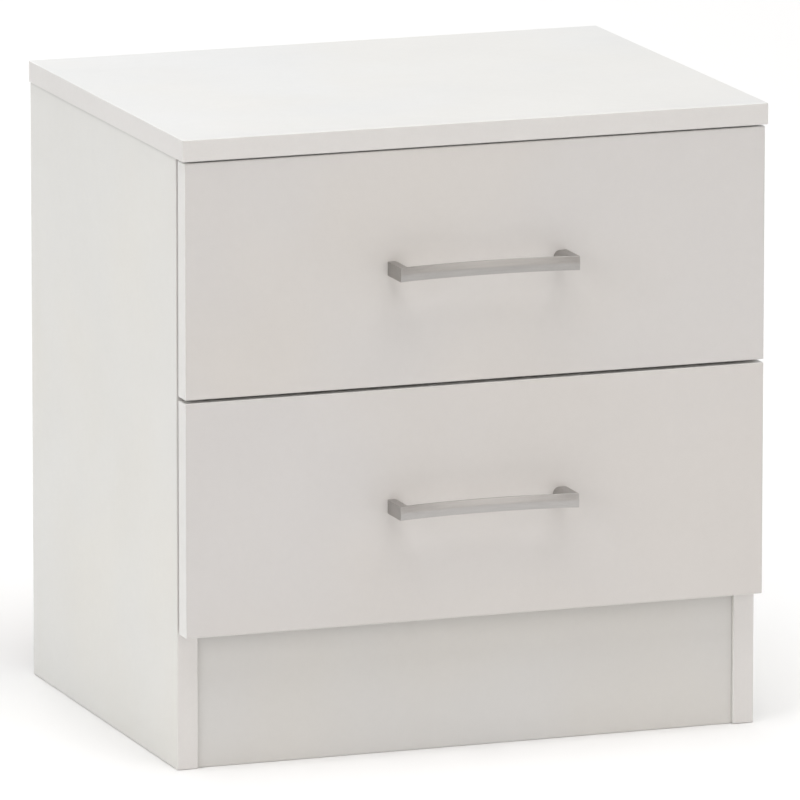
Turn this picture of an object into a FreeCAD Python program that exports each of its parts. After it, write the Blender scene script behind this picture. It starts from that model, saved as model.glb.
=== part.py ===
import FreeCAD, Part
import os
import math
from FreeCAD import Vector as V

# Two-drawer bedside cabinet, flat-pack melamine board construction.
# Millimetres, +Z up, front faces -Y, +X to the viewer's right when facing the front.
# Origin: centre of the overall bounding box at floor level.

# ---------------------------------------------------------------- driving sizes
W_TOP = 450.0          # top panel width
D_TOP = 350.0          # top panel depth
H_ALL = 466.0          # overall height
T = 16.0               # board thickness of carcass, top, plinth and drawer fronts
W_CARC = 447.6         # over the side panels
SIDE_SET = 19.0        # side panel front edge behind the top's front edge
FRONT_SET = 1.0        # drawer front face behind the top's front edge
W_FRONT = 446.0        # drawer front width
H_FRONT = 172.6        # drawer front height
GAP_TOP = 1.3          # gap under the top panel
GAP_MID = 2.5          # gap between the two fronts
PLINTH_SET = 3.0       # plinth face behind the side panel edges
PLINTH_TOP = 108.0
PLINTH_LIFT = 0.0
R_EDGE = 0.8           # rounding of the edge banding
BACK_T = 3.0           # hardboard
BACK_IN = 11.5         # back panel's rear face in from the carcass rear
# handle
HND_L = 137.5
HND_C = 128.0          # hole centres
HND_H = 10.3
HND_PROJ = 28.0
HND_SAG = 6.0          # the strap bows in towards the drawer at mid length
HND_T = 3.2
HND_CROWN = 0.45
HND_UP = 0.15          # handle above the middle of the front
# drawer box
BOX_T = 12.0
BOX_H = 118.0
BOX_L = 300.0
BOX_UP = 22.0          # box bottom above the front's lower edge
RUN_SPACE = 13.0       # space for one runner
GROOVE_UP = 10.0       # drawer bottom above box side's lower edge
BOT_T = 3.0
# runners
SHEET = 1.2
R_CAB = 10.0           # cabinet roller
R_DRW = 9.0            # drawer roller
U_ROLL0 = 4.0          # rollers lie this far off the side panel ...
U_ROLL1 = 10.0         # ... to this
TRAVEL = 225.0         # drawer travel on the runners

# ---------------------------------------------------------------- derived places
YF = -(D_TOP + HND_PROJ - FRONT_SET) / 2.0 + (HND_PROJ - FRONT_SET)   # top's front edge
YR = YF + D_TOP
ZT = H_ALL - T                      # underside of the top panel
YD = YF + FRONT_SET                 # drawer front face
YDB = YD + T                        # drawer front back face
YS = YF + SIDE_SET                  # side panel front edge
XO = W_CARC / 2.0                   # side panel outer face
XI = XO - T                         # side panel inner face
YP = YS + PLINTH_SET                # plinth face
YPB = YP + T
YB1 = YR - BACK_IN                  # back panel rear face
YB0 = YB1 - BACK_T
Z1T = ZT - GAP_TOP
Z1B = Z1T - H_FRONT
Z2T = Z1B - GAP_MID
Z2B = Z2T - H_FRONT
XB = XI - RUN_SPACE                 # drawer box outer face
YBX = YDB + BOX_L                   # drawer box rear
BP1 = PLINTH_TOP                    # bottom panel top
BP0 = BP1 - T

os.makedirs("parts", exist_ok=True)


def box(x0, x1, y0, y1, z0, z1):
    return Part.makeBox(x1 - x0, y1 - y0, z1 - z0, V(x0, y0, z0))


def rbox(x0, x1, y0, y1, z0, z1, r):
    b = box(x0, x1, y0, y1, z0, z1)
    return b.makeFillet(r, b.Edges)


def cyl(r, p, d, h):
    return Part.makeCylinder(r, h, V(*p), V(*d))


def mir(s):
    return s.mirror(V(0, 0, 0), V(1, 0, 0))


def fuse(parts):
    s = parts[0]
    if len(parts) > 1:
        s = s.multiFuse(parts[1:])
        s = s.removeSplitter()
    return s


def one(s):
    # a cut or fuse result that holds one solid is written as that solid
    if s.ShapeType == "Compound" and len(s.Solids) == 1:
        return s.Solids[0]
    return s


def group(solids):
    out = []
    for s in solids:
        out += s.Solids
    return Part.makeCompound(out)


NODES = {}


def put(name, s):
    s = one(s)
    assert len(name) < 60
    assert s.isValid(), name
    for q in s.Solids:
        assert q.Volume > 0.5, name
    NODES[name] = s


# ---------------------------------------------------------------- fasteners
def dowel(p, d, l, r=4.0):
    # fluted beech dowel with chamfered ends, centred on p along d
    dv = V(*d)
    a = V(*p) - dv * (l / 2.0)
    c = Part.makeCylinder(r, l - 2.0, a + dv, dv)
    c1 = Part.makeCone(r - 0.9, r, 1.0, a, dv)
    c2 = Part.makeCone(r, r - 0.9, 1.0, a + dv * (l - 1.0), dv)
    return fuse([c, c1, c2])


def cam(p, d, depth, r, bolt_dir):
    # round cam housing: p is the centre of its face at the board's surface, d points out of
    # the board; a cross recess in the face and a pocket for the bolt head
    dv = V(*d)
    base = V(*p) - dv * depth
    b = Part.makeCylinder(r - 0.1, depth - 0.2, base + dv * 0.1, dv)
    bd = V(*bolt_dir)
    pocket = Part.makeCylinder(3.9, 2 * r, V(*p) - dv * (depth / 2.0 + 0.4), bd)
    b = b.cut(pocket)
    side = dv.cross(bd)
    rec = None
    for u in (bd, side):
        w = dv.cross(u)
        c = V(*p) - dv * 0.1
        pts = [c + u * (r * 0.55) + w * 0.7, c - u * (r * 0.55) + w * 0.7,
               c - u * (r * 0.55) - w * 0.7, c + u * (r * 0.55) - w * 0.7]
        f = Part.Face(Part.makePolygon(pts + [pts[0]]))
        pr = f.extrude(dv * -2.0)
        rec = pr if rec is None else rec.fuse(pr)
    b = b.cut(rec)
    return b


def cam_bolt(p, d, reach, anchor):
    # p: point on the joint plane, d: towards the cam. A threaded anchor behind p, a thin
    # neck and a ball head before it
    dv = V(*d)
    pv = V(*p)
    parts = [Part.makeCylinder(2.5, anchor, pv - dv * anchor, dv),
             Part.makeCylinder(3.4, 1.2, pv + dv * 0.0, dv),
             Part.makeCylinder(1.8, reach - 3.0, pv, dv),
             Part.makeCylinder(3.3, 3.0, pv + dv * (reach - 3.0), dv)]
    return fuse(parts)


def pan_screw(p, d, length, r, hr, hh):
    # p: point under the head, d: direction the shank runs
    dv = V(*d)
    pv = V(*p)
    head = Part.makeCone(hr, hr * 0.72, hh, pv, dv * -1.0)
    rec = None
    w = V(0, 0, 1) if abs(dv.z) < 0.5 else V(1, 0, 0)
    for u in (w, dv.cross(w)):
        q = dv.cross(u)
        c = pv - dv * (hh + 0.1)
        a = hr * 0.42
        pts = [c + u * a + q * 0.35, c - u * a + q * 0.35, c - u * a - q * 0.35, c + u * a - q * 0.35]
        pr = Part.Face(Part.makePolygon(pts + [pts[0]])).extrude(dv * (hh * 0.75))
        rec = pr if rec is None else rec.fuse(pr)
    head = head.cut(rec)
    shank = Part.makeCylinder(r, length - 2.0, pv, dv)
    tip = Part.makeCone(r, 0.3, 2.0, pv + dv * (length - 2.0), dv)
    return fuse([head, shank, tip])


def grow(shapes, host):
    # the host board is drilled exactly where each fastener sits
    for s in shapes:
        for q in s.Solids:
            host = host.cut(q)
    return host


# ---------------------------------------------------------------- carcass boards
top = rbox(-W_TOP / 2, W_TOP / 2, YF, YR, ZT, H_ALL, R_EDGE)
side_l = rbox(-XO, -XI, YS, YR, 0.0, ZT, R_EDGE)
bottom = rbox(-XI, XI, YPB, YB0 - 0.2, BP0, BP1, 0.4)
plinth = rbox(-XI, XI, YP, YPB, PLINTH_LIFT, PLINTH_TOP, 0.5)
back = box(-XI - 5.0, XI + 5.0, YB0, YB1, BP0 - 12.0, ZT + 5.0)

# grooves for the back panel
gy0, gy1 = YB0 - 0.2, YB1 + 0.2
side_l = side_l.cut(box(-XI - 6.0, -XI + 1.0, gy0, gy1, BP0 - 12.5, ZT + 1.0))
top = top.cut(box(-XI - 6.0, XI + 6.0, gy0, gy1, ZT - 1.0, ZT + 6.0))

# knock-down fittings: cam in one board, bolt in the other, dowels beside them
cams, bolts, dowels = [], [], []
CAM_IN = 24.0
xm = -XO + T / 2.0                       # middle of the left side board
cam_y = [YS + 55.0, YR - 60.0]
dow_y = [YS + 23.0, YR - 92.0]
drill_side, drill_top, drill_bot, drill_pl = [], [], [], []
for y in cam_y:                          # top to side
    c = cam((-XI, y, ZT - CAM_IN), (1, 0, 0), 12.5, 7.5, (0, 0, 1))
    b = cam_bolt((xm + 0.85, y, ZT), (0, 0, -1), CAM_IN - 0.6, 10.0)
    hole = Part.makeCylinder(7.5, 12.5, V(-XI, y, ZT - CAM_IN), V(-1, 0, 0))
    chan = Part.makeCylinder(4.0, CAM_IN, V(xm + 0.85, y, ZT - CAM_IN), V(0, 0, 1))
    cams.append(c)
    bolts.append(b)
    drill_side += [hole, chan]
    drill_top.append(b)
for y in dow_y:
    d = dowel((xm, y, ZT - 3.0), (0, 0, 1), 28.0)
    dowels.append(d)
    drill_side.append(d)
    drill_top.append(d)
zbm = (BP0 + BP1) / 2.0
for y in (YPB + 60.0, YB0 - 60.0):       # bottom panel to side, cam under the bottom panel
    c = cam((-XI + CAM_IN, y, BP0), (0, 0, -1), 12.5, 7.5, (-1, 0, 0))
    zb_ = BP0 + 12.5 / 2.0 + 0.4
    b = cam_bolt((-XI, y, zb_), (1, 0, 0), CAM_IN - 0.6, 10.0)
    cams.append(c)
    bolts.append(b)
    drill_bot += [Part.makeCylinder(7.5, 12.5, V(-XI + CAM_IN, y, BP0), V(0, 0, 1)),
                  Part.makeCylinder(4.0, CAM_IN, V(-XI, y, zb_), V(1, 0, 0))]
    drill_side.append(b)
for y in (YPB + 28.0, YB0 - 28.0):
    d = dowel((-XI + 3.0, y, zbm), (1, 0, 0), 28.0)
    dowels.append(d)
    drill_side.append(d)
    drill_bot.append(d)
zc_ = 62.0                               # plinth to side, cam in the plinth's rear face
c = cam((-XI + CAM_IN, YPB, zc_), (0, 1, 0), 12.5, 7.5, (-1, 0, 0))
yb_ = YPB - 12.5 / 2.0 - 0.4
b = cam_bolt((-XI, yb_, zc_), (1, 0, 0), CAM_IN - 0.6, 10.0)
cams.append(c)
bolts.append(b)
drill_pl += [Part.makeCylinder(7.5, 12.5, V(-XI + CAM_IN, YPB, zc_), V(0, -1, 0)),
             Part.makeCylinder(4.0, CAM_IN, V(-XI, yb_, zc_), V(1, 0, 0))]
drill_side.append(b)
for z in (24.0, 82.0):
    d = dowel((-XI + 3.0, (YP + YPB) / 2.0, z), (1, 0, 0), 28.0)
    dowels.append(d)
    drill_side.append(d)
    drill_pl.append(d)

# ---------------------------------------------------------------- runners (left hand, u grows inwards)
def uu(u):
    return -XI + u


YC0 = YS + 3.0                 # cabinet runner front
YC1 = YC0 + 300.0
YROLL_C = YC0 + 13.0
YM0 = YDB + 0.6                # drawer runner front
YM1 = YDB + BOX_L - 2.0
YROLL_D = YM1 - 12.0


def cab_runner(zb):
    z0, z1 = zb - 6.0, zb + 15.0
    web = box(uu(0), uu(SHEET), YC0, YC1, z0, z1)
    fl = box(uu(0), uu(10.5), YC0 + 26.0, YC1, z0, z0 + SHEET)
    ft = box(uu(0), uu(10.5), YC0 + 26.0, YC1, z1 - SHEET, z1)
    end = box(uu(0), uu(10.5), YC1 - SHEET, YC1, z0, z1)
    s = fuse([web, fl, ft, end])
    return s


def drw_runner(zb):
    up = box(uu(RUN_SPACE - SHEET), uu(RUN_SPACE), YM0, YM1, zb - SHEET, zb + 16.8)
    und = box(uu(RUN_SPACE - SHEET), uu(RUN_SPACE + 11.0), YM0, YM1, zb - SHEET, zb)
    rail = box(uu(2.0), uu(RUN_SPACE), YM0, YM1, zb + 15.6, zb + 16.8)
    return fuse([up, und, rail])


def roller(r, y, z):
    u0, u1 = U_ROLL0, U_ROLL1
    c = Part.makeCylinder(r, u1 - u0, V(uu(u0), y, z), V(1, 0, 0))
    c = c.makeFillet(0.5, [e for e in c.Edges if isinstance(e.Curve, Part.Circle)])
    # recessed faces, leaving a hub and a rim
    for (x, d) in ((uu(u0), 1), (uu(u1), -1)):
        ring = Part.makeCylinder(r - 1.8, 1.0, V(x, y, z), V(d, 0, 0)).cut(
            Part.makeCylinder(3.6, 1.0, V(x, y, z), V(d, 0, 0)))
        c = c.cut(ring)
    return c.cut(Part.makeCylinder(2.05, u1 - u0 + 2, V(uu(u0) - 1, y, z), V(1, 0, 0)))


def axle_cab(zb):
    z = zb + 15.3 - R_CAB
    s = Part.makeCylinder(2.0, U_ROLL1 + 1.1, V(uu(0), YROLL_C, z), V(1, 0, 0))
    h = Part.makeCylinder(3.4, 0.8, V(uu(U_ROLL1 + 0.3), YROLL_C, z), V(1, 0, 0))
    return fuse([s, h])


def axle_drw(zb):
    z = zb - 4.8 + 0.3 + R_DRW
    s = Part.makeCylinder(2.0, RUN_SPACE - U_ROLL0 + 1.1, V(uu(U_ROLL0 - 1.1), YROLL_D, z), V(1, 0, 0))
    h = Part.makeCylinder(3.4, 0.8, V(uu(U_ROLL0 - 1.1), YROLL_D, z), V(1, 0, 0))
    return fuse([s, h])


cab_screws, cab_axles = [], []
for tag, zb in (("upper", Z1B + BOX_UP), ("lower", Z2B + BOX_UP)):
    r = cab_runner(zb)
    ax = axle_cab(zb)
    r = r.cut(ax)
    scr = []
    for y in (YC0 + 37.0, YC0 + 133.0, YC0 + 261.0):
        scr.append(pan_screw((uu(SHEET), y, zb + 4.5), (-1, 0, 0), 13.0, 1.7, 3.3, 1.2))
    for s_ in scr:
        r = r.cut(s_)
    put("cabinet_runner_%s_left" % tag, r)
    put("cabinet_runner_%s_right" % tag, mir(r))
    rl = roller(R_CAB, YROLL_C, zb + 15.3 - R_CAB)
    put("cabinet_roller_%s_left" % tag, rl)
    put("cabinet_roller_%s_right" % tag, mir(rl))
    cab_axles += [ax, mir(ax)]
    cab_screws += scr
    drill_side += scr
put("cabinet_runner_screws", group(cab_screws + [mir(s) for s in cab_screws]))
put("cabinet_roller_axles", group(cab_axles))

# back panel pins into the bottom panel's rear edge
pins = []
for x in (-180.0, -90.0, 0.0, 90.0, 180.0):
    sh = Part.makeCylinder(0.9, 16.0, V(x, YB1, BP0 + T / 2.0), V(0, -1, 0))
    hd = Part.makeCylinder(2.4, 0.8, V(x, YB1, BP0 + T / 2.0), V(0, 1, 0))
    pins.append(fuse([sh, hd]))
back = grow(pins, back)

side_l = grow(drill_side, side_l)
side_r = mir(side_l)
drill_top_all = drill_top + [mir(s) for s in drill_top]
top = grow(drill_top_all, top)
bottom = grow(drill_bot + [mir(s) for s in drill_bot] + pins, bottom)
plinth = grow(drill_pl + [mir(s) for s in drill_pl], plinth)

put("top_panel", top)
put("left_side_panel", side_l)
put("right_side_panel", side_r)
put("bottom_panel", bottom)
put("plinth", plinth)
put("back_panel", back)
put("back_panel_pins", group(pins))
put("cam_locks", group(cams + [mir(s) for s in cams]))
put("cam_bolts", group(bolts + [mir(s) for s in bolts]))
put("wood_dowels", group(dowels + [mir(s) for s in dowels]))


# ---------------------------------------------------------------- handle
def handle(zc):
    # the strap: a crowned flat section turned about a vertical axis far in front of the
    # drawer, so its middle sits HND_SAG closer to the drawer than its ends
    half = HND_L / 2.0
    ye = YD - HND_PROJ                       # front of the ends
    ym = ye + HND_SAG                        # front at mid length
    rad = (half * half + HND_SAG * HND_SAG) / (2.0 * HND_SAG)
    yc = ym - rad
    h = HND_H / 2.0
    e = 0.55
    crown = HND_CROWN
    # section in the YZ plane at x = 0, y measured forwards as negative
    pts = [(0.0, -0.9), (0.0, 0.9), (crown, h - e), (crown + e, h), (HND_T - 0.3, h), (HND_T, h - 0.3),
           (HND_T, -h + 0.3), (HND_T - 0.3, -h), (crown + e, -h), (crown, -h + e)]
    poly = [V(0, ym + a, zc + b) for a, b in pts]
    wire = Part.makePolygon(poly + [poly[0]])
    face = Part.Face(wire)
    ang = math.degrees(math.asin(half / rad)) + 1.5
    face.rotate(V(0, yc, zc), V(0, 0, 1), -ang)
    strap = face.revolve(V(0, yc, zc), V(0, 0, 1), 2 * ang)
    if strap.ShapeType != "Solid":
        strap = strap.Solids[0] if strap.Solids else Part.Solid(strap)
    cutbox = box(-half, half, ye - 5, YD, zc - h - 1, zc + h + 1)
    strap = strap.common(cutbox)
    # the feet: D-shaped posts, flat outside, round inside, square on to the drawer front
    feet = []
    for sgn in (-1, 1):
        cx = sgn * HND_C / 2.0
        flat = box(min(cx, sgn * half), max(cx, sgn * half), ye + 1.0, YD, zc - h, zc + h)
        rnd = Part.makeCylinder(h, YD - (ye + 2.0), V(cx, ye + 2.0, zc), V(0, 1, 0))
        feet.append(flat.fuse(rnd))
    body = fuse([strap] + feet)
    body = body.common(box(-half, half, ye - 5, YD, zc - h, zc + h))
    # nothing reaches further forwards than the strap's own face
    outline = Part.makeCylinder(rad + 0.02, 40.0, V(0, yc, zc - 20.0), V(0, 0, 1))
    body = body.cut(outline)
    return one(body)


# ---------------------------------------------------------------- drawers
def drawer(tag, zbot):
    zb = zbot + BOX_UP
    zt = zb + BOX_H
    front = rbox(-W_FRONT / 2, W_FRONT / 2, YD, YDB, zbot, zbot + H_FRONT, R_EDGE)
    sl = rbox(-XB, -XB + BOX_T, YDB, YBX, zb, zt, 0.5)
    bk = rbox(-XB + BOX_T, XB - BOX_T, YBX - BOX_T, YBX, zb + GROOVE_UP + BOT_T + 0.2, zt, 0.5)
    bt = box(-XB + 6.5, XB - 6.5, YDB - 5.5, YBX - 0.5, zb + GROOVE_UP, zb + GROOVE_UP + BOT_T)
    g0, g1 = zb + GROOVE_UP - 0.2, zb + GROOVE_UP + BOT_T + 0.2
    sl = sl.cut(box(-XB + 6.0, -XB + BOX_T + 1, YDB - 1, YBX + 1, g0, g1))
    front = front.cut(box(-XB + 6.0, XB - 6.0, YDB - 6.0, YDB + 1, g0, g1))
    # side to front: one cam with its bolt, one dowel above and one below it
    zc = zb + 66.0
    xs = -XB + BOX_T / 2.0
    cm = cam((-XB + BOX_T, YDB + CAM_IN, zc), (1, 0, 0), 9.5, 6.0, (0, -1, 0))
    xb = -XB + BOX_T - (9.5 / 2.0 + 0.4)
    bl = cam_bolt((xb, YDB, zc), (0, 1, 0), CAM_IN - 0.6, 10.0)
    dws = [dowel((xs, YDB + 4.0, z), (0, 1, 0), 26.0, 3.0) for z in (zb + 34.0, zb + 98.0)]
    hole = [Part.makeCylinder(6.0, 9.5, V(-XB + BOX_T, YDB + CAM_IN, zc), V(-1, 0, 0)),
            Part.makeCylinder(3.7, CAM_IN, V(xb, YDB, zc), V(0, 1, 0))]
    scr_back = [pan_screw((-XB, YBX - BOX_T / 2.0, z), (1, 0, 0), 38.0, 1.9, 3.6, 1.0)
                for z in (zb + 34.0, zb + 92.0)]
    sl = grow(hole + dws + scr_back, sl)
    bk = grow(scr_back + [mir(s) for s in scr_back], bk)
    front = grow(dws + [bl] + [mir(s) for s in dws] + [mir(bl)], front)
    # runner on the box side
    rn = drw_runner(zb)
    ax = axle_drw(zb)
    rn = rn.cut(ax)
    rs = [pan_screw((-XB + BOX_T / 2.0, y, zb - SHEET), (0, 0, 1), 10.0, 1.7, 3.2, 1.2)
          for y in (YM0 + 40.0, YM0 + 150.0, YM0 + 262.0)]
    rn = grow(rs, rn)
    sl = grow(rs, sl)
    rl = roller(R_DRW, YROLL_D, zb - 4.8 + 0.3 + R_DRW)
    # handle and its screws
    zh = zbot + H_FRONT / 2.0 + HND_UP
    hd = handle(zh)
    hs = []
    for sgn in (-1, 1):
        hs.append(pan_screw((sgn * HND_C / 2.0, YDB, zh), (0, -1, 0), 27.0, 1.95, 4.0, 2.2))
    hd = grow(hs, hd)
    front = grow(hs, front)
    # bumper pads behind the front, facing the side panel edges
    pads = []
    for z in (zbot + 26.0, zbot + H_FRONT - 26.0):
        p = Part.makeCylinder(4.0, SIDE_SET - FRONT_SET - T - 0.4, V(-XO + T / 2.0, YDB, z), V(0, 1, 0))
        p = p.makeFillet(0.6, [max(p.Edges, key=lambda e: e.CenterOfMass.y)])
        pads += [p, mir(p)]

    put("drawer_front_%s" % tag, front)
    put("drawer_side_%s_left" % tag, sl)
    put("drawer_side_%s_right" % tag, mir(sl))
    put("drawer_back_%s" % tag, bk)
    put("drawer_bottom_%s" % tag, bt)
    put("drawer_cams_%s" % tag, group([cm, mir(cm)]))
    put("drawer_cam_bolts_%s" % tag, group([bl, mir(bl)]))
    put("drawer_dowels_%s" % tag, group(dws + [mir(s) for s in dws]))
    put("drawer_back_screws_%s" % tag, group(scr_back + [mir(s) for s in scr_back]))
    put("drawer_runner_%s_left" % tag, rn)
    put("drawer_runner_%s_right" % tag, mir(rn))
    put("drawer_runner_screws_%s" % tag, group(rs + [mir(s) for s in rs]))
    put("drawer_roller_%s_left" % tag, rl)
    put("drawer_roller_%s_right" % tag, mir(rl))
    put("drawer_roller_axles_%s" % tag, group([ax, mir(ax)]))
    put("handle_%s" % tag, hd)
    put("handle_screws_%s" % tag, group(hs))
    put("bumper_pads_%s" % tag, group(pads))


drawer("upper", Z1B)
drawer("lower", Z2B)

# ---------------------------------------------------------------- write the nodes
lo = V(1e9, 1e9, 1e9)
hi = V(-1e9, -1e9, -1e9)
for name, s in NODES.items():
    s.exportStep("parts/%s.step" % name)
    bb = s.BoundBox
    lo = V(min(lo.x, bb.XMin), min(lo.y, bb.YMin), min(lo.z, bb.ZMin))
    hi = V(max(hi.x, bb.XMax), max(hi.y, bb.YMax), max(hi.z, bb.ZMax))
    print("%-30s solids %2d vol %.1f cm3" % (name, len(s.Solids), s.Volume / 1000.0))
print("nodes", len(NODES))
print("box", tuple(round(v, 3) for v in lo), tuple(round(v, 3) for v in hi))
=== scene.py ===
import math

import bmesh
import bpy
from mathutils import Matrix, Vector


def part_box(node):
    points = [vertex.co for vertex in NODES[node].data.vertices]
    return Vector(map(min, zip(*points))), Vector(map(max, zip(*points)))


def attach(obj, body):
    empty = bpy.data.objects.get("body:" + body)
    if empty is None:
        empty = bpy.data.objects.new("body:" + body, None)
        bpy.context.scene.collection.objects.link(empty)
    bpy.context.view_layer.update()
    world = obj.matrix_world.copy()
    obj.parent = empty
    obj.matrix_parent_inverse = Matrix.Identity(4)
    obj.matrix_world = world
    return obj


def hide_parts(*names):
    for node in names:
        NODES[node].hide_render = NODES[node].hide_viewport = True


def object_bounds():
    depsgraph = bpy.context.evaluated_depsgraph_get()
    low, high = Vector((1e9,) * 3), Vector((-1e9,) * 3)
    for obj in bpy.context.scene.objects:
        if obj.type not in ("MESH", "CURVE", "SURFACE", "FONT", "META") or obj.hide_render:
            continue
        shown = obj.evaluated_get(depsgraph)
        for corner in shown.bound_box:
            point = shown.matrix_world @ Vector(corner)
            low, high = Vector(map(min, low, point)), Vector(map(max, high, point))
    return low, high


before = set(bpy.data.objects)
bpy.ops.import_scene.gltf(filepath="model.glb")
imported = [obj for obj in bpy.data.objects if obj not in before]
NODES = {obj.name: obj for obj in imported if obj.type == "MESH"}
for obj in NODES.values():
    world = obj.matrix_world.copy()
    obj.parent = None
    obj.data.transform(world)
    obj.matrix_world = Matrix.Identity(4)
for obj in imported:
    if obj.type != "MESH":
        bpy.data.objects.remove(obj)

CAD_LO, CAD_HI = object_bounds()
MM = 0.001


# =============================================================== node graph helper
class Graph:
    """One procedural material: a Principled shader and the nodes that feed it."""

    def __init__(self, name, metallic=0.0, ior=1.5, specular=0.5, **constants):
        self.mat = bpy.data.materials.new(name)
        self.mat.use_nodes = True
        self.t = self.mat.node_tree
        self.t.nodes.clear()
        out = self.node("OutputMaterial")
        self.sh = self.node("BsdfPrincipled")
        self.t.links.new(self.sh.outputs["BSDF"], out.inputs["Surface"])
        self.sh.inputs["Metallic"].default_value = metallic
        self.sh.inputs["IOR"].default_value = ior
        self.sh.inputs["Specular IOR Level"].default_value = specular
        for k, v in constants.items():
            self.sh.inputs[k.replace("_", " ")].default_value = v
        coord = self.node("TexCoord")
        self.obj = coord.outputs["Object"]
        self.nrm = coord.outputs["Normal"]

    def node(self, kind, **props):
        n = self.t.nodes.new("ShaderNode" + kind)
        for k, v in props.items():
            setattr(n, k, v)
        return n

    def put(self, sock, v):
        if isinstance(v, bpy.types.NodeSocket):
            self.t.links.new(v, sock)
        else:
            sock.default_value = v

    def math(self, op, a, b=0.0, c=0.0, clamp=False):
        n = self.node("Math", operation=op, use_clamp=clamp)
        for s, v in zip(n.inputs, (a, b, c)):
            self.put(s, v)
        return n.outputs[0]

    def vec(self, op, a, b=None):
        n = self.node("VectorMath", operation=op)
        self.put(n.inputs[0], a)
        if b is not None:
            self.put(n.inputs[1], b)
        return n.outputs["Value"] if op in ("DOT_PRODUCT", "LENGTH") else n.outputs["Vector"]

    def split(self, v):
        n = self.node("SeparateXYZ")
        self.put(n.inputs[0], v)
        return n.outputs

    def noise(self, vec, scale, detail=2.0, rough=0.5, warp=0.0):
        n = self.node("TexNoise")
        self.put(n.inputs["Vector"], vec)
        n.inputs["Scale"].default_value = scale
        n.inputs["Detail"].default_value = detail
        n.inputs["Roughness"].default_value = rough
        n.inputs["Distortion"].default_value = warp
        return n.outputs[0]

    def cells(self, vec, scale, feature="F1", out="Distance", rand=1.0):
        n = self.node("TexVoronoi", feature=feature)
        self.put(n.inputs["Vector"], vec)
        n.inputs["Scale"].default_value = scale
        n.inputs["Randomness"].default_value = rand
        return n.outputs[out]

    def span(self, v, a0, a1, b0, b1, smooth=False):
        n = self.node("MapRange")
        n.interpolation_type = "SMOOTHSTEP" if smooth else "LINEAR"
        for key, x in (("Value", v), ("From Min", a0), ("From Max", a1), ("To Min", b0), ("To Max", b1)):
            self.put(n.inputs[key], x)
        return n.outputs[0]

    def mix(self, f, a, b, kind="MIX"):
        n = self.node("Mix", data_type="RGBA", blend_type=kind)
        self.put(n.inputs[0], f)
        for s, v in ((n.inputs[6], a), (n.inputs[7], b)):
            self.put(s, v if isinstance(v, bpy.types.NodeSocket) else (*v, 1.0))
        return n.outputs[2]

    def shade(self, colour, factor):
        """colour times a grey factor"""
        n = self.node("VectorMath", operation="SCALE")
        self.put(n.inputs[0], colour)
        self.put(n.inputs["Scale"], factor)
        return n.outputs["Vector"]

    def bump(self, height, depth, strength=1.0, normal=None):
        n = self.node("Bump")
        n.inputs["Strength"].default_value = strength
        n.inputs["Distance"].default_value = depth
        self.put(n.inputs["Height"], height)
        if normal is not None:
            self.put(n.inputs["Normal"], normal)
        return n.outputs[0]

    def finish(self, colour=None, rough=None, normal=None):
        if colour is not None:
            self.put(self.sh.inputs["Base Color"], colour)
        if rough is not None:
            self.put(self.sh.inputs["Roughness"], rough)
        if normal is not None:
            self.put(self.sh.inputs["Normal"], normal)
        return self.mat


def stretched(g, sx, sy, sz, off=(0.0, 0.0, 0.0)):
    m = g.node("Mapping")
    m.inputs["Location"].default_value = off
    m.inputs["Scale"].default_value = (sx, sy, sz)
    g.put(m.inputs["Vector"], g.obj)
    return m.outputs[0]


def put_material(name, mat):
    o = NODES[name]
    if not o.material_slots:
        o.data.materials.append(mat)
    for s in o.material_slots:
        s.material = mat


# =============================================================== boards
def chipboard(g, seed):
    """Raw particle board, seen only in drilled holes and grooves."""
    p = stretched(g, 1.0, 1.0, 1.0, (seed, seed * 0.7, -seed))
    chips = g.cells(p, 420.0, out="Color")
    tone = g.vec("DOT_PRODUCT", chips, (0.45, 0.3, 0.25))
    fine = g.noise(p, 2600.0, 3.0)
    t = g.math("MULTIPLY_ADD", fine, 0.35, g.math("MULTIPLY", tone, 0.75))
    return g.mix(t, (0.20, 0.115, 0.055), (0.60, 0.43, 0.26))


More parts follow.
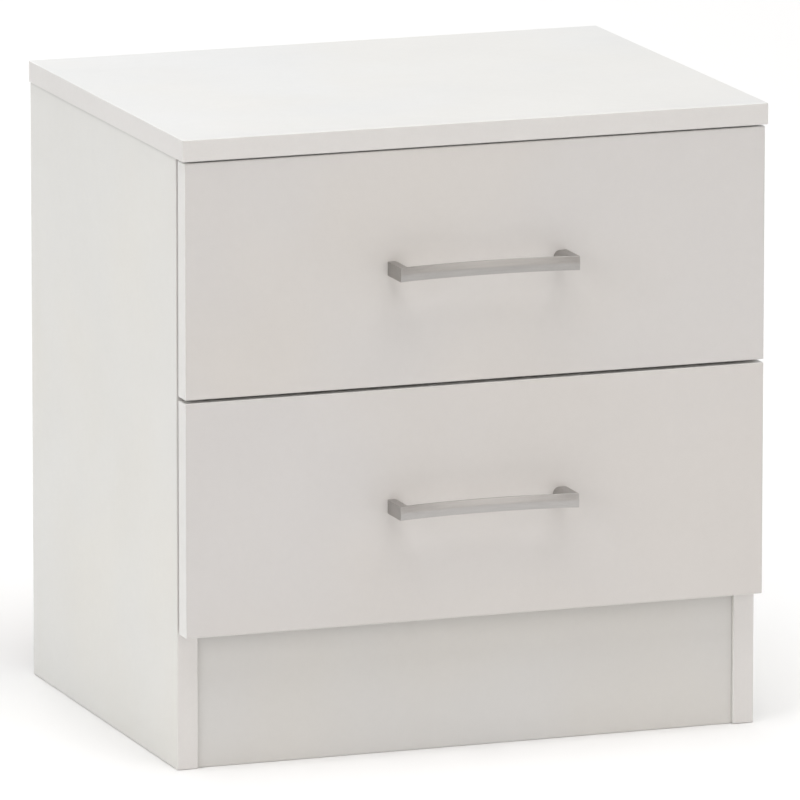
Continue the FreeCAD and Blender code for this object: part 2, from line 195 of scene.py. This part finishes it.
def board(name, node, thick, face, edge, seed, foil=False, glue=0.86, band=0.8, end_band_light=1.0, painted_lift=0.0, painted_shade=None):
    """White faced board. thick is the axis across its thickness (0 X, 1 Y, 2 Z).
    face and edge are the colours of the pressed face and of the edge band; end_band_light lightens the band on
    the X ends, painted light for the ends catching more light. painted_lift is how much the foil is lightened round
    the handle, painted light against the handle's shade.
    painted_shade is (height where it begins, height of the most, tone there): painted shade, darker towards the top,
    under the part above."""
    g = Graph(name, ior=1.5, specular=0.42)
    lo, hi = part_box(node)
    centre, half = (lo + hi) / 2, (hi - lo) / 2
    rel = g.vec("ABSOLUTE", g.vec("SUBTRACT", g.obj, tuple(centre)))
    inn = g.split(g.vec("SUBTRACT", tuple(half), rel))
    a, b = [i for i in range(3) if i != thick]
    rim = g.math("MINIMUM", inn[a], inn[b])                # distance in from the board's outline
    deep = g.math("MINIMUM", rim, inn[thick])              # distance in from every outer face
    across = g.math("ABSOLUTE", g.split(g.nrm)[thick])
    is_face = g.span(across, 0.55, 0.8, 0.0, 1.0, smooth=True)

    p = stretched(g, 1.0, 1.0, 1.0, (seed, seed * 1.3, seed * 0.37))
    cloud = g.noise(p, 9.0, 3.0, 0.55)                     # slow tone drift across the sheet
    mottle = g.noise(p, 150.0, 3.0, 0.6)                   # pulp clouding of the paper
    fibre = g.noise(p, 1500.0, 2.0, 0.6)                   # fine speckle
    tone = g.math("ADD", g.span(cloud, 0.25, 0.75, -0.014, 0.014),
                  g.math("ADD", g.span(mottle, 0.25, 0.75, -0.008, 0.008),
                         g.span(fibre, 0.2, 0.8, -0.012, 0.012)))
    warm = tuple(c * k for c, k in zip(face, (1.006, 1.0, 0.988)))
    cool = tuple(c * k for c, k in zip(face, (0.994, 1.0, 1.010)))
    col = g.mix(g.span(g.noise(p, 5.0, 2.0), 0.35, 0.65, 0.0, 1.0, smooth=True), warm, cool)

    # edge band: smoother plastic, faint streaks along its length
    lengthwise = [1800.0, 1800.0, 1800.0]
    longest = max((a, b), key=lambda i: half[i])
    lengthwise[longest] = 60.0
    streak = g.noise(stretched(g, *lengthwise), 1.0, 2.0, 0.6)
    band_col = g.shade(g.mix(streak, tuple(c * 0.992 for c in edge), tuple(c * 1.008 for c in edge)), 1.0)
    # painted light: the band on the X ends is made lighter, as if the ends catch more light
    if end_band_light != 1.0:
        at_end = g.math("ABSOLUTE", g.split(g.nrm)[0])
        band_col = g.shade(band_col, g.span(at_end, 0.55, 0.8, 1.0, end_band_light, smooth=True))
    col = g.mix(is_face, band_col, col)

    # the hairline of glue where the band meets the face, and the slight rub along the arris
    off = g.math("ABSOLUTE", g.math("SUBTRACT", rim, (band + 0.15) * MM))
    line = g.math("MULTIPLY", g.span(off, 0.0, 0.16 * MM, 1.0, 0.0, smooth=True), is_face)
    broken = g.span(g.noise(p, 260.0, 2.0), 0.3, 0.65, 0.35, 1.0)
    line = g.math("MULTIPLY", line, broken)
    rub = g.math("MULTIPLY", g.span(rim, 0.0, 3.0 * MM, 1.0, 0.0, smooth=True), g.span(g.noise(p, 420.0, 3.0), 0.45, 0.75, 0.0, 1.0))
    tone = g.math("ADD", tone, g.math("ADD", g.math("MULTIPLY", line, glue - 1.0), g.math("MULTIPLY", rub, 0.012)))
    col = g.shade(col, g.math("ADD", tone, 1.0))

    if painted_lift:                                              # painted light: the foil round the handle is lightened to cancel the handle's shade on it
        out = g.split(rel)
        near = g.math("MULTIPLY", g.span(out[0], 48.0 * MM, 84.0 * MM, 1.0, 0.0, smooth=True),
                      g.span(out[2], 2.0 * MM, 23.0 * MM, 1.0, 0.0, smooth=True))
        patchy = g.span(g.noise(p, 30.0, 2.0), 0.3, 0.7, 0.9, 1.1)
        col = g.shade(col, g.math("ADD", 1.0, g.math("MULTIPLY", g.math("MULTIPLY", near, patchy), painted_lift)))
    if painted_shade:                                              # painted shade: darker towards the top, where the part above shades it
        z0, z1, least = painted_shade
        up = g.span(g.split(g.obj)[2], z0, z1, 0.0, 1.0, smooth=True)
        col = g.shade(col, g.math("ADD", 1.0, g.math("MULTIPLY", up, least - 1.0)))

    raw = g.span(deep, 0.85 * MM, 1.0 * MM, 0.0, 1.0)      # inside a drilled hole or groove
    col = g.mix(raw, col, chipboard(g, seed))

    # gloss: soft smudges, the band a little shinier, raw board matt
    smudge = g.noise(p, 14.0, 4.0, 0.6, 0.6)
    pore = g.noise(p, 700.0, 2.0)
    rough = g.math("ADD", g.span(smudge, 0.3, 0.7, 0.37, 0.46), g.span(pore, 0.3, 0.7, -0.025, 0.025))
    rough = g.math("SUBTRACT", rough, g.math("MULTIPLY", g.math("SUBTRACT", 1.0, is_face), 0.06))
    rough = g.math("MAXIMUM", rough, g.math("MULTIPLY", raw, 0.9))

    # relief: press-plate waviness, pearl structure, fine grain; the glue hairline sunk a little
    wave = g.bump(g.noise(p, 55.0, 2.0), 0.00006, 0.8)
    pearl = g.bump(g.cells(p, 620.0, feature="SMOOTH_F1"), 0.000035 if not foil else 0.00002, 0.55, wave)
    grain = g.bump(g.noise(p, 1900.0, 2.0), 0.000016, 0.5, pearl)
    seam = g.bump(g.math("MULTIPLY", line, -1.0), 0.00004, 0.8, grain)
    return g.finish(col, rough, seam)


# linear colours of the sheet and of its bands
WHITE = (0.676, 0.670, 0.655)


def tint(k, r=1.0, g=1.0, b=1.0):
    return (WHITE[0] * k * r, WHITE[1] * k * g, WHITE[2] * k * b)


# painted light and shade: every board is the same white sheet, but each gets a lighter or darker copy of its face and
# band colours to match how much light falls on it. The top is lightest, the sides less, and the fronts and plinth
# darker.
BOARDS = {
    # node: (axis across thickness, face, edge, seed)
    "top_panel": (2, tint(1.10, r=0.990, b=1.010), tint(0.936, r=1.012), 1.7),
    "left_side_panel": (0, tint(1.068, b=0.983), tint(0.958, r=1.016), 5.1),
    "right_side_panel": (0, tint(1.068, b=0.983), tint(0.958, r=1.016), 9.3),
    "bottom_panel": (2, tint(0.98), tint(1.03), 13.9),
    "plinth": (1, tint(0.888, r=1.008, b=0.994), tint(1.0), 17.2),
    "drawer_front_upper": (1, tint(0.855, r=1.024, b=0.994), tint(1.09), 21.4),
    "drawer_front_lower": (1, tint(0.859, r=1.024, b=0.998), tint(1.09), 26.8),
}
EXTRAS = {
    "top_panel": dict(end_band_light=1.095),
    "left_side_panel": dict(painted_shade=(0.4470, 0.4496, 0.86)),
    "right_side_panel": dict(painted_shade=(0.4470, 0.4496, 0.86)),
    "plinth": dict(painted_shade=(0.0740, 0.0975, 0.925)),
    "drawer_front_upper": dict(painted_lift=0.14),
    "drawer_front_lower": dict(painted_lift=0.14),
}
for node, (axis, face, edge, seed) in BOARDS.items():
    put_material(node, board("melamine_" + node, node, axis, face, edge, seed, **EXTRAS.get(node, {})))

for tag, s0 in (("upper", 31.0), ("lower", 47.0)):
    for k, (node, axis) in enumerate((("drawer_side_%s_left" % tag, 0), ("drawer_side_%s_right" % tag, 0),
                                      ("drawer_back_%s" % tag, 1))):
        put_material(node, board("foil_" + node, node, axis, tint(1.0), tint(1.0), s0 + 3.1 * k, foil=True,
                                 glue=0.95, band=0.3))


# =============================================================== hardboard
def hardboard(name, node, thick, white_side, seed):
    """Thin pressed fibre sheet: lacquered white on one face, bare brown with a screen print on the other.
    white_side is +1 or -1 along the thickness axis."""
    g = Graph(name, ior=1.5, specular=0.35)
    lo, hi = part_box(node)
    centre, half = (lo + hi) / 2, (hi - lo) / 2
    p = stretched(g, 1.0, 1.0, 1.0, (seed, -seed, seed * 0.5))
    side = g.math("MULTIPLY", g.split(g.nrm)[thick], float(white_side))
    pos = g.math("MULTIPLY", g.math("SUBTRACT", g.split(g.obj)[thick], centre[thick]), float(white_side))
    skin = g.math("MULTIPLY", g.span(side, 0.5, 0.8, 0.0, 1.0, smooth=True),
                  g.span(pos, half[thick] - 0.2 * MM, half[thick] - 0.1 * MM, 0.0, 1.0))
    # bare side: felted fibres, darker clots
    felt = g.noise(p, 900.0, 5.0, 0.7, 1.2)
    fleck = g.span(g.cells(p, 520.0), 0.05, 0.35, 1.0, 0.0, smooth=True)
    drift = g.noise(p, 14.0, 3.0, 0.55)
    brown = g.mix(felt, (0.155, 0.080, 0.036), (0.395, 0.250, 0.137))
    brown = g.mix(g.math("MULTIPLY", fleck, 0.30), brown, (0.105, 0.052, 0.024))
    brown = g.shade(brown, g.span(drift, 0.25, 0.75, 0.90, 1.10))
    # white side: thin lacquer, the felt shows through a little
    white = g.mix(g.span(felt, 0.2, 0.8, 0.0, 1.0), tint(0.935, b=0.985), tint(1.0, b=0.995))
    white = g.shade(white, g.span(drift, 0.25, 0.75, 0.985, 1.015))
    col = g.mix(skin, brown, white)
    rough = g.mix(skin, (0.82, 0.82, 0.82), (0.42, 0.42, 0.42))
    rough = g.math("ADD", g.split(rough)[0], g.span(felt, 0.2, 0.8, -0.07, 0.07))
    # the press screen leaves a fine square mesh in the bare side
    a, b = [i for i in range(3) if i != thick]
    pos3 = g.split(g.obj)
    mesh = g.math("MULTIPLY", g.math("SINE", g.math("MULTIPLY", pos3[a], 2 * math.pi / 0.0017)),
                  g.math("SINE", g.math("MULTIPLY", pos3[b], 2 * math.pi / 0.0017)))
    mesh = g.math("MULTIPLY", mesh, g.math("SUBTRACT", 1.0, skin))
    n = g.bump(mesh, 0.00010, 0.9)
    n = g.bump(g.math("MULTIPLY", felt, g.span(skin, 0.0, 1.0, 1.0, 0.22)), 0.00012, 0.8, n)
    return g.finish(col, rough, n)


put_material("back_panel", hardboard("hardboard_back", "back_panel", 1, -1, 3.3))
put_material("drawer_bottom_upper", hardboard("hardboard_drawer_upper", "drawer_bottom_upper", 2, 1, 7.1))
put_material("drawer_bottom_lower", hardboard("hardboard_drawer_lower", "drawer_bottom_lower", 2, 1, 12.6))


# =============================================================== metals and small parts
def brushed(name, low, high, r0, r1, axis=0, seed=0.0):
    """Satin plated zinc, brushed along one axis."""
    g = Graph(name, metallic=1.0)
    s = [2600.0, 2600.0, 2600.0]
    s[axis] = 55.0
    fine = g.noise(stretched(g, *s, (seed, seed, seed)), 1.0, 3.0, 0.65)
    s2 = [700.0, 700.0, 700.0]
    s2[axis] = 22.0
    broad = g.noise(stretched(g, *s2, (seed, -seed, seed)), 1.0, 2.0, 0.5)
    haze = g.noise(stretched(g, 1, 1, 1, (seed, 0, 0)), 60.0, 3.0, 0.6)
    t = g.math("MULTIPLY_ADD", fine, 0.55, g.math("MULTIPLY", broad, 0.45))
    col = g.mix(g.span(t, 0.3, 0.7, 0.0, 1.0), low, high)
    # painted light: the side towards the drawer gets a much brighter plating colour so it throws more light onto the
    # drawer front, lifting the strap's shade there
    rear = g.span(g.split(g.nrm)[1], 0.45, 0.85, 0.0, 1.0, smooth=True)
    col = g.mix(rear, col, tuple(min(0.86, c * 1.85) for c in high))
    col = g.shade(col, g.span(haze, 0.3, 0.7, 0.975, 1.02))
    rough = g.math("ADD", g.span(fine, 0.3, 0.7, r0, r1), g.span(haze, 0.3, 0.7, -0.03, 0.03))
    n = g.bump(broad, 0.00001, 0.5)
    n = g.bump(fine, 0.000006, 0.6, n)
    return g.finish(col, rough, n)


# painted light: the lower handle gets a lighter copy of the same satin nickel, as it is lit brighter
NICKEL = {
    "upper": brushed("satin_nickel_upper", (0.368, 0.356, 0.345), (0.438, 0.425, 0.412), 0.34, 0.46),
    "lower": brushed("satin_nickel_lower", (0.408, 0.396, 0.387), (0.486, 0.473, 0.462), 0.34, 0.46, seed=2.7),
}


def speckled_metal(name, low, high, r0, r1, scale, metallic=1.0, depth=0.00001, seed=0.0):
    g = Graph(name, metallic=metallic)
    p = stretched(g, 1, 1, 1, (seed, seed, seed))
    big = g.noise(p, scale * 0.18, 3.0, 0.6)
    small = g.noise(p, scale, 3.0, 0.65)
    spangle = g.split(g.cells(p, scale * 0.4, out="Color"))[0]
    t = g.math("MULTIPLY_ADD", small, 0.4, g.math("MULTIPLY_ADD", big, 0.4, g.math("MULTIPLY", spangle, 0.2)))
    col = g.mix(g.span(t, 0.25, 0.75, 0.0, 1.0), low, high)
    rough = g.span(g.math("MULTIPLY_ADD", big, 0.6, g.math("MULTIPLY", small, 0.4)), 0.3, 0.7, r0, r1)
    n = g.bump(small, depth, 0.6)
    return g.finish(col, rough, n)


ZINC = speckled_metal("zinc_plate_bright", (0.50, 0.52, 0.55), (0.70, 0.71, 0.70), 0.22, 0.40, 1500.0)
DIECAST = speckled_metal("zinc_die_cast", (0.40, 0.40, 0.40), (0.56, 0.56, 0.55), 0.38, 0.58, 1100.0, depth=0.00003, seed=4.0)


def enamel(name, seed=0.0):
    """White stoved epoxy on folded steel: orange peel, clouding and a little dirt."""
    g = Graph(name, ior=1.5, specular=0.5)
    p = stretched(g, 1, 1, 1, (seed, seed, seed))
    peel = g.noise(p, 650.0, 2.0, 0.5)
    cloud = g.noise(p, 22.0, 3.0, 0.6)
    dirt = g.span(g.noise(p, 120.0, 4.0, 0.65), 0.52, 0.78, 0.0, 1.0, smooth=True)
    col = g.mix(cloud, (0.735, 0.730, 0.712), (0.785, 0.782, 0.768))
    col = g.mix(g.math("MULTIPLY", dirt, 0.12), col, (0.56, 0.545, 0.51))
    rough = g.math("ADD", g.span(cloud, 0.3, 0.7, 0.27, 0.36), g.math("MULTIPLY", dirt, 0.12))
    return g.finish(col, rough, g.bump(peel, 0.00005, 0.6))


def nylon(name, seed=0.0):
    """Moulded natural nylon: off-white, slightly translucent, turned wear on the tread."""
    g = Graph(name, ior=1.53, specular=0.45)
    g.sh.inputs["Subsurface Weight"].default_value = 0.15
    g.sh.inputs["Subsurface Radius"].default_value = (0.002, 0.0018, 0.0015)
    p = stretched(g, 1, 1, 1, (seed, seed, seed))
    flow = g.noise(p, 260.0, 3.0, 0.6, 0.8)
    fine = g.noise(p, 1900.0, 2.0)
    rub = g.noise(stretched(g, 2600.0, 120.0, 120.0, (seed, 0, 0)), 1.0, 2.0)
    col = g.mix(flow, (0.70, 0.685, 0.63), (0.79, 0.78, 0.735))
    col = g.shade(col, g.span(rub, 0.3, 0.7, 0.97, 1.02))
    rough = g.math("ADD", g.span(flow, 0.3, 0.7, 0.33, 0.46), g.span(fine, 0.3, 0.7, -0.03, 0.03))
    n = g.bump(fine, 0.00001, 0.5)
    return g.finish(col, rough, g.bump(rub, 0.00001, 0.5, n))


def beech(name, axis):
    g = Graph(name, ior=1.45, specular=0.3)
    s = [900.0, 900.0, 900.0]
    s[axis] = 60.0
    grain = g.noise(stretched(g, *s), 1.0, 4.0, 0.65, 0.6)
    pores = g.span(g.noise(stretched(g, *[v * 2.4 for v in s]), 1.0, 2.0), 0.56, 0.70, 0.0, 1.0)
    col = g.mix(grain, (0.52, 0.33, 0.17), (0.72, 0.53, 0.32))
    col = g.mix(g.math("MULTIPLY", pores, 0.45), col, (0.34, 0.19, 0.09))
    return g.finish(col, g.span(grain, 0.3, 0.7, 0.55, 0.72), g.bump(grain, 0.00005, 0.7))


def clear_pad(name):
    g = Graph(name, ior=1.42, specular=0.5)
    g.sh.inputs["Transmission Weight"].default_value = 0.55
    p = stretched(g, 1, 1, 1)
    haze = g.noise(p, 420.0, 3.0, 0.6)
    col = g.mix(haze, (0.80, 0.81, 0.80), (0.90, 0.91, 0.90))
    return g.finish(col, g.span(haze, 0.3, 0.7, 0.16, 0.34), g.bump(g.noise(p, 900.0, 2.0), 0.00002, 0.6))


ENAMEL = enamel("epoxy_white")
NYLON = nylon("nylon_natural")
PAD = clear_pad("soft_pad")
BEECH = {0: beech("beech_x", 0), 1: beech("beech_y", 1), 2: beech("beech_z", 2)}
for name in NODES:
    if name.startswith(("cabinet_runner_upper", "cabinet_runner_lower", "drawer_runner_upper", "drawer_runner_lower")):
        put_material(name, ENAMEL)
    elif "screws" in name or "axles" in name or "bolts" in name or name.endswith("pins"):
        put_material(name, ZINC)
    elif name.startswith(("cabinet_roller_", "drawer_roller_")):
        put_material(name, NYLON)
    elif name in ("cam_locks", "drawer_cams_upper", "drawer_cams_lower"):
        put_material(name, DIECAST)
    elif name.startswith("drawer_dowels"):
        put_material(name, BEECH[1])
    elif name == "wood_dowels":
        put_material(name, BEECH[0])
    elif name.startswith("bumper_pads"):
        put_material(name, PAD)


# =============================================================== handles
HND_T = 3.2 * MM          # strap thickness
HND_SAG = 6.0 * MM        # the strap's middle sits this much closer to the drawer
HND_CROWN = 1.35 * MM     # the strap's face is ridged along its middle
HND_HOLE = 64.0 * MM      # half the distance between the screws


def closed_loft(bm, rings):
    """A closed skin over rings of points, with flat ends."""
    vs = [[bm.verts.new(p) for p in ring] for ring in rings]
    n = len(vs[0])
    for r0, r1 in zip(vs, vs[1:]):
        for i in range(n):
            j = (i + 1) % n
            bm.faces.new((r0[i], r0[j], r1[j], r1[i]))
    bm.faces.new(list(reversed(vs[0])))
    bm.faces.new(vs[-1])


def mesh_object(name, bm):
    bmesh.ops.recalc_face_normals(bm, faces=bm.faces)
    me = bpy.data.meshes.new(name)
    bm.to_mesh(me)
    bm.free()
    o = bpy.data.objects.new(name, me)
    bpy.context.scene.collection.objects.link(o)
    return o


def strap_section(h, crown):
    """Half-rounded flat section: (distance behind the front face, height)."""
    pts = []
    r = 0.25 * MM
    edge = h - r
    for i in range(0, 9):                                     # lower slope to the middle, then up
        z = -edge + edge * i / 8.0
        pts.append((crown * ridge(abs(z) / edge), z))
    for i in range(1, 9):
        z = edge * i / 8.0
        pts.append((crown * ridge(abs(z) / edge), z))
    for i in range(1, 6):                                     # top front arris
        a = math.pi / 2 * i / 5.0
        pts.append((crown + r - r * math.cos(a), edge + r * math.sin(a)))
    rb = 0.3 * MM
    for i in range(0, 4):                                     # top rear arris
        a = math.pi / 2 * i / 3.0
        pts.append((HND_T - rb + rb * math.sin(a), h - rb + rb * math.cos(a)))
    for i in range(0, 4):
        a = math.pi / 2 * i / 3.0
        pts.append((HND_T - rb + rb * math.cos(a), -h + rb - rb * math.sin(a)))
    for i in range(0, 5):
        a = math.pi / 2 * (1 - i / 5.0)
        pts.append((crown + r - r * math.cos(a), -edge - r * math.sin(a)))
    return pts


def ridge(t):
    """0 on the ridge, 1 at the arris: two near-flat slopes that meet in a soft ridge."""
    return (math.sqrt(t * t + 0.03) - math.sqrt(0.03)) / (math.sqrt(1.03) - math.sqrt(0.03))


def union(base, other):
    m = base.modifiers.new("join", "BOOLEAN")
    m.operation, m.solver, m.object = "UNION", "EXACT", other
    bpy.context.view_layer.update()
    dg = bpy.context.evaluated_depsgraph_get()
    me = bpy.data.meshes.new_from_object(base.evaluated_get(dg))
    base.modifiers.clear()
    old = base.data
    base.data = me
    bpy.data.meshes.remove(old)
    gone = other.data
    bpy.data.objects.remove(other)
    bpy.data.meshes.remove(gone)
    return base


def make_handle(tag):
    node = "handle_" + tag
    lo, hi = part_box(node)
    half, h = (hi.x - lo.x) / 2, (hi.z - lo.z) / 2
    cx, zc = (hi.x + lo.x) / 2, (hi.z + lo.z) / 2
    y_end, y_face = lo.y, hi.y
    rad = (half * half + HND_SAG * HND_SAG) / (2.0 * HND_SAG)
    yc = y_end + HND_SAG - rad
    bm = bmesh.new()
    rings = []
    n = 56
    for i in range(n + 1):
        x = -half + 2 * half * i / n
        section = strap_section(h, HND_CROWN * (1.0 - 0.70 * abs(x / half) ** 10))   # flatter at its ends
        rings.append([(cx + x, yc + math.sqrt((rad + a) ** 2 - x * x), zc + z) for a, z in section])
    closed_loft(bm, rings)
    handle = mesh_object("pull_" + tag, bm)
    for sgn in (-1, 1):
        bm = bmesh.new()
        post_y0 = y_end + 2.3 * MM
        ring = []
        m = 28
        for i in range(m + 1):                                # the round inner side
            a = math.pi / 2 + math.pi * i / m
            ring.append((cx + sgn * HND_HOLE - sgn * -math.cos(a) * h, zc + math.sin(a) * h))
        ring.append((cx + sgn * half, zc - h))
        ring.append((cx + sgn * half, zc + h))
        rings = [[(x, y, z) for x, z in ring] for y in (post_y0, y_face)]
        closed_loft(bm, rings)
        handle = union(handle, mesh_object("post", bm))
    me = handle.data
    bm = bmesh.new()
    bm.from_mesh(me)
    bmesh.ops.remove_doubles(bm, verts=bm.verts, dist=1e-6)
    bmesh.ops.dissolve_degenerate(bm, dist=1e-6, edges=bm.edges)
    bm.to_mesh(me)
    bm.free()
    bev = handle.modifiers.new("soft_arris", "BEVEL")
    bev.width, bev.segments = 0.18 * MM, 3
    bev.limit_method, bev.angle_limit = "ANGLE", math.radians(38)
    bev.use_clamp_overlap = True
    bev.miter_outer = "MITER_ARC"
    for poly in me.polygons:
        poly.use_smooth = True
    wn = handle.modifiers.new("facing", "WEIGHTED_NORMAL")
    wn.keep_sharp = True
    me.materials.clear()
    me.materials.append(NICKEL[tag])
    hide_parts(node)
    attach(handle, "drawer_" + tag)
    return handle


for tag in ("upper", "lower"):
    make_handle(tag)


# =============================================================== floor, light, camera
def floor_material():
    g = Graph("studio_floor", ior=1.45, specular=0.15)
    p = stretched(g, 1, 1, 1)
    col = g.mix(g.noise(p, 1.1, 3.0, 0.5), (0.925, 0.925, 0.925), (0.940, 0.940, 0.940))
    return g.finish(col, g.span(g.noise(p, 40.0, 3.0), 0.3, 0.7, 0.72, 0.8))


bm = bmesh.new()
bmesh.ops.create_grid(bm, x_segments=12, y_segments=12, size=60.0)
floor = mesh_object("studio_floor", bm)
if floor.data.polygons[0].normal.z < 0:
    floor.data.flip_normals()
floor.location.z = -0.0002
floor.data.materials.append(floor_material())


def area(name, place, aim, size, watts, colour=(1, 1, 1)):
    d = bpy.data.lights.new(name, "AREA")
    d.shape = "DISK"
    d.size = size
    d.energy = watts
    d.color = colour
    o = bpy.data.objects.new(name, d)
    bpy.context.scene.collection.objects.link(o)
    o.location = place
    o.rotation_mode = "QUATERNION"
    o.rotation_quaternion = (Vector(place) - Vector(aim)).to_track_quat("Z", "Y")
    o.visible_camera = False
    return o


mid = (CAD_LO + CAD_HI) / 2
KEY, SIDE, FRONT, BEHIND = 652.0, 138.0, 70.0, 68.0
area("key_overhead", (-0.3, -1.6, 8.9), tuple(mid), 8.0, KEY, (1.0, 1.0, 1.0))
area("side_left", (-7.4, -4.1, 3.0), tuple(mid), 5.0, SIDE, (1.0, 0.998, 0.985))
area("front_low", (2.6, -7.0, 3.7), tuple(mid), 4.4, FRONT, (1.0, 0.975, 0.945))
area("floor_behind", (0.2, 5.6, 3.6), (0.3, 3.1, 0.0), 3.0, BEHIND, (1.0, 1.0, 1.0))

# studio walls: a low bright band, brightest at the left, under a dimmer ceiling
SKY_TOP, SKY_LOW, SKY_RIGHT = 0.30, 1.06, 0.93
SKY_FRONT_TONE = (1.07, 1.0, 0.945)
world = bpy.data.worlds.new("studio")
bpy.context.scene.world = world
world.use_nodes = True
wt = world.node_tree
wt.nodes.clear()


def w_node(kind, **props):
    n = wt.nodes.new("ShaderNode" + kind)
    for k, v in props.items():
        setattr(n, k, v)
    return n


def w_range(src, a0, a1, b0, b1):
    n = w_node("MapRange")
    n.interpolation_type = "SMOOTHSTEP"
    wt.links.new(src, n.inputs["Value"])
    for key, x in (("From Min", a0), ("From Max", a1), ("To Min", b0), ("To Max", b1)):
        n.inputs[key].default_value = x
    return n.outputs[0]


w_out = w_node("OutputWorld")
w_bg = w_node("Background")
wt.links.new(w_bg.outputs[0], w_out.inputs[0])
w_xyz = w_node("SeparateXYZ")
wt.links.new(w_node("TexCoord").outputs["Generated"], w_xyz.inputs[0])
low = w_range(w_xyz.outputs[2], math.sin(math.radians(4)), math.sin(math.radians(20)), 1.0, 0.0)
round_about = w_range(w_xyz.outputs[0], -0.85, -0.10, SKY_LOW, SKY_RIGHT)
w_mix = w_node("Mix", data_type="FLOAT")
wt.links.new(low, w_mix.inputs[0])
w_mix.inputs[2].default_value = SKY_TOP
wt.links.new(round_about, w_mix.inputs[3])
w_tone = w_node("Mix", data_type="RGBA")
wt.links.new(w_range(w_xyz.outputs[1], -0.85, 0.15, 0.0, 1.0), w_tone.inputs[0])
w_tone.inputs[6].default_value = (*SKY_FRONT_TONE, 1.0)
w_tone.inputs[7].default_value = (1.0, 1.0, 1.0, 1.0)
wt.links.new(w_tone.outputs[2], w_bg.inputs["Color"])
wt.links.new(w_mix.outputs[0], w_bg.inputs["Strength"])

cam_data = bpy.data.cameras.new("camera")
cam = bpy.data.objects.new("camera", cam_data)
bpy.context.scene.collection.objects.link(cam)
AZ, EL, ROLL, DIST = math.radians(-20.03), math.radians(11.65), math.radians(-0.035), 8.6936
aim = mid + Vector((0.00194, 0.0075, -0.0045))
back = Vector((math.sin(AZ) * math.cos(EL), -math.cos(AZ) * math.cos(EL), math.sin(EL)))
cam.rotation_mode = "QUATERNION"
cam.location = aim + back * DIST
cam.rotation_quaternion = (Matrix.Rotation(ROLL, 4, -back) @ (-back).to_track_quat("-Z", "Y").to_matrix().to_4x4()).to_quaternion()
cam_data.sensor_width = 36.0
cam_data.lens = 530.83
cam_data.clip_start, cam_data.clip_end = 0.1, 200.0
cam_data.dof.use_dof = False
bpy.context.scene.camera = cam
bpy.context.scene.view_settings.view_transform = "Standard"
